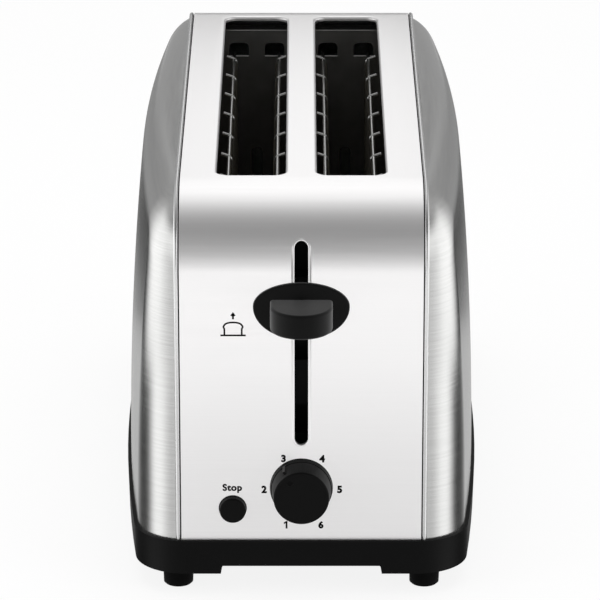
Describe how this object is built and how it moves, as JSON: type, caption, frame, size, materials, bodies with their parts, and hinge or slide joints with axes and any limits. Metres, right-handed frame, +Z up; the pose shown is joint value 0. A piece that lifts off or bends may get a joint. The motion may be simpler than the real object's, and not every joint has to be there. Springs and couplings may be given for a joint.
{
  "type": "pop up toaster",
  "caption": "Long-slot pop-up toaster with a brushed steel wrap on a black base, sliding carriage lever, browning knob, stop button and crumb tray.",
  "frame": {"origin": "on the floor under the feet, below the middle of the whole object's box", "axes": "+Z up, +Y from the lever end to the rear, +X to the right of someone facing the lever"},
  "size_m": [0.1778, 0.3874, 0.2006],
  "materials": {
    "band_steel": "fine horizontal brushing, satin",
    "shell_steel": "fine horizontal brushing, satin",
    "trim_steel": "polished",
    "black_plastic": "fine moulded grain",
    "satin_plastic": "satin moulded",
    "foot_rubber": "matte",
    "sheet_steel": "rolled sheet, darkened by heat",
    "black_steel": "black oxide",
    "wire_steel": "bright plated wire",
    "mica": "matte mineral sheet",
    "resistance_ribbon": "dull oxidised ribbon",
    "iron": "plain",
    "copper": "enamelled winding",
    "circuit_laminate": "resin laminate, dark solder mask",
    "component_case": "moulded",
    "screw_steel": "zinc plated"
  },
  "bodies": {
    "housing": {"centre_band": "band_steel", "left_side_shell": "shell_steel", "right_side_shell": "shell_steel", "left_seam_trim": "trim_steel", "right_seam_trim": "trim_steel", "base": "black_plastic", "lead_gland": "black_plastic", "control_bracket": "black_plastic", "feet": "foot_rubber", "rear_end_plate": "sheet_steel", "left_reflector": "sheet_steel", "right_reflector": "sheet_steel", "front_end_plate": "black_steel", "guide_rods": "wire_steel", "left_lift_spring": "wire_steel", "right_lift_spring": "wire_steel", "left_heater_board": "mica", "middle_heater_board": "mica", "right_heater_board": "mica", "left_heater_ribbon": "resistance_ribbon", "middle_heater_ribbons": "resistance_ribbon", "right_heater_ribbon": "resistance_ribbon", "magnet_core": "iron", "magnet_coil": "copper", "circuit_board": "circuit_laminate", "potentiometer": "component_case", "stop_switch": "component_case", "base_screws": "screw_steel"},
    "carriage": {"lift_carriage": "black_steel", "armature": "iron", "lever_handle": "satin_plastic", "left_bread_rack": "sheet_steel", "right_bread_rack": "sheet_steel"},
    "knob": {"browning_knob": "satin_plastic", "knob_shaft": "wire_steel"},
    "button": {"stop_button": "satin_plastic"},
    "tray": {"crumb_tray": "sheet_steel", "tray_pull": "black_plastic"},
    "left_outer_guide_body": {"left_outer_guide": "wire_steel"},
    "left_inner_guide_body": {"left_inner_guide": "wire_steel"},
    "right_inner_guide_body": {"right_inner_guide": "wire_steel"},
    "right_outer_guide_body": {"right_outer_guide": "wire_steel"}
  },
  "joints": [
    {"name": "lever_slide", "type": "slide", "parent": "housing", "child": "carriage", "axis": [0, 0, 1], "range_m": [-0.058, 0.02], "stiffness_N_per_m": 80, "springref_m": 0.014, "deforming": ["left_lift_spring", "right_lift_spring"]},
    {"name": "knob_turn", "type": "hinge", "parent": "housing", "child": "knob", "pos_m": [0, -0.16825, 0.0559], "axis": [0, 1, 0], "range_deg": [-120, 190]},
    {"name": "stop_press", "type": "slide", "parent": "housing", "child": "button", "axis": [0, 1, 0], "range_m": [0, 0.0028], "stiffness_N_per_m": 400, "springref_m": -0.001},
    {"name": "tray_slide", "type": "slide", "parent": "housing", "child": "tray", "axis": [0, 1, 0], "range_m": [0, 0.32]},
    {"name": "left_outer_guide_slide", "type": "slide", "parent": "housing", "child": "left_outer_guide_body", "axis": [1, 0, 0], "range_m": [-0.0013, 0.0036]},
    {"name": "left_inner_guide_slide", "type": "slide", "parent": "housing", "child": "left_inner_guide_body", "axis": [1, 0, 0], "range_m": [-0.0036, 0.0013]},
    {"name": "right_inner_guide_slide", "type": "slide", "parent": "housing", "child": "right_inner_guide_body", "axis": [1, 0, 0], "range_m": [-0.0013, 0.0036]},
    {"name": "right_outer_guide_slide", "type": "slide", "parent": "housing", "child": "right_outer_guide_body", "axis": [1, 0, 0], "range_m": [-0.0036, 0.0013]}
  ],
  "couplings": [
    {"joint": "left_outer_guide_slide", "follows": "lever_slide", "ratio": -0.060345},
    {"joint": "left_inner_guide_slide", "follows": "lever_slide", "ratio": 0.060345},
    {"joint": "right_inner_guide_slide", "follows": "lever_slide", "ratio": -0.060345},
    {"joint": "right_outer_guide_slide", "follows": "lever_slide", "ratio": 0.060345}
  ]
}
